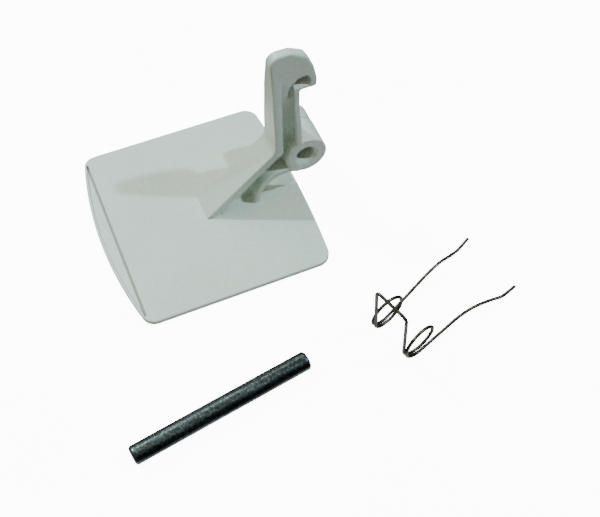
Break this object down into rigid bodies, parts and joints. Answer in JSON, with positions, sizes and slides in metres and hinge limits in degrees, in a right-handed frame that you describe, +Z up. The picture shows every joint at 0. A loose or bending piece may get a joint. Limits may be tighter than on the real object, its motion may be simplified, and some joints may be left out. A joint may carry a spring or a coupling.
{
  "type": "door latch handle kit",
  "caption": "Moulded pull-handle latch laid out as a kit: grip plate with a hooked arm and hinge barrel, a steel hinge pin and a double torsion spring.",
  "frame": {"origin": "middle of the hinge barrel's bore", "axes": "+Y along the bore, out of its far mouth; +X away from the grip; +Z up, out of the grip plate's face towards the hook"},
  "size_m": [0.1198, 0.1056, 0.0567],
  "materials": {
    "moulding": "satin gloss, pale cool grey",
    "pin_steel": "zinc plated, mottled",
    "spring_wire": "oiled dark spring steel"
  },
  "bodies": {
    "pin_and_spring_legs": {"hinge_pin": "pin_steel", "spring_leg_far": "spring_wire", "spring_leg_near": "spring_wire"},
    "handle": {"grip_plate": "moulding", "grip_lip": "moulding", "ramp_flange": "moulding", "arm_flange": "moulding", "arm_web": "moulding", "arm_rib": "moulding", "arch_rib": "moulding", "hook_head": "moulding", "hinge_hub": "moulding"},
    "spring_winding": {"spring_coil_far": "spring_wire", "spring_coil_near": "spring_wire", "spring_bridge": "spring_wire"}
  },
  "joints": [
    {"name": "handle_pivot", "type": "hinge", "parent": "pin_and_spring_legs", "child": "handle", "pos_m": [0, 0, 0], "axis": [0, 1, 0], "range_deg": [0, 28]},
    {"name": "spring_wind", "type": "hinge", "parent": "pin_and_spring_legs", "child": "spring_winding", "pos_m": [0.0039, -0.0677, -0.0101], "axis": [-0.3057, 0.9521, 0], "range_deg": [0, 28], "stiffness_Nm_per_rad": 0.34}
  ]
}
